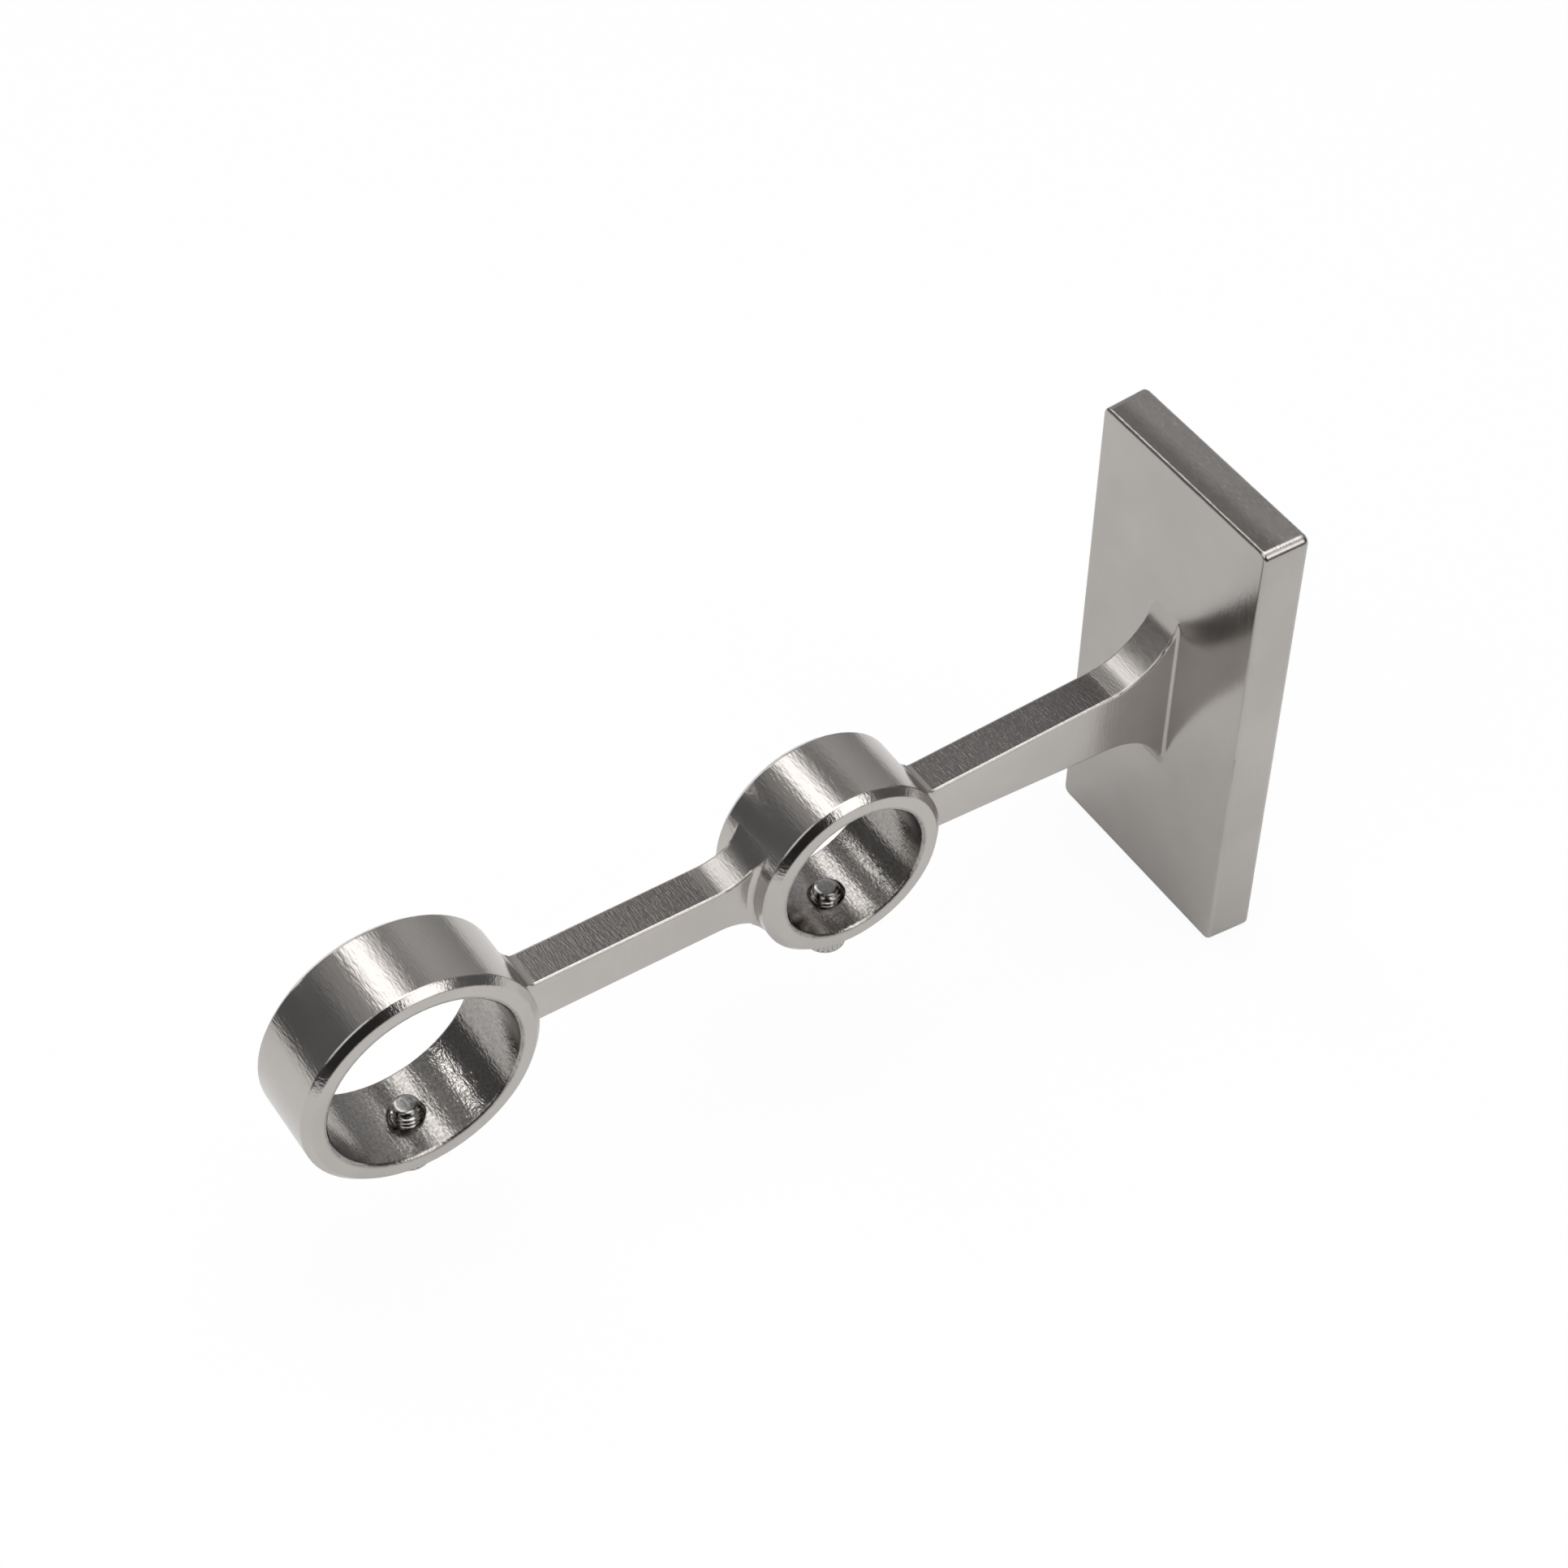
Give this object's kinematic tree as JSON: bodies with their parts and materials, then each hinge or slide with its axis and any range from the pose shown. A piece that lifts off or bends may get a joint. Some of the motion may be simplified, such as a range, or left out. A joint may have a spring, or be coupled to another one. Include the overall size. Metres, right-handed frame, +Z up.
{
  "type": "double curtain pole bracket",
  "caption": "Wall bracket with a flat rectangular rose and a slim arm carrying a large and a small closed ring for parallel curtain poles, each ring with a clamp screw from below.",
  "frame": {"origin": "middle of the rose's back face, in the plane of the wall", "axes": "+X along the poles, -Y out from the wall along the arm, +Z up"},
  "size_m": [0.034, 0.1383, 0.074],
  "materials": {
    "satin_nickel": "satin nickel plate over a zinc casting",
    "zinc_plated_steel": "bright zinc plate",
    "screw_nickel": "nickel plate"
  },
  "bodies": {
    "bracket": {"bracket_body": "satin_nickel", "wall_plate": "zinc_plated_steel", "plate_lock_screw": "zinc_plated_steel"},
    "front_screw": {"front_clamp_screw": "screw_nickel"},
    "rear_screw": {"rear_clamp_screw": "screw_nickel"}
  },
  "joints": [
    {"name": "front_screw_travel", "type": "slide", "parent": "bracket", "child": "front_screw", "axis": [0, 0, 1], "range_m": [-0.003, 0.00055]},
    {"name": "rear_screw_travel", "type": "slide", "parent": "bracket", "child": "rear_screw", "axis": [0, 0, 1], "range_m": [-0.0023, 0.00125]}
  ]
}
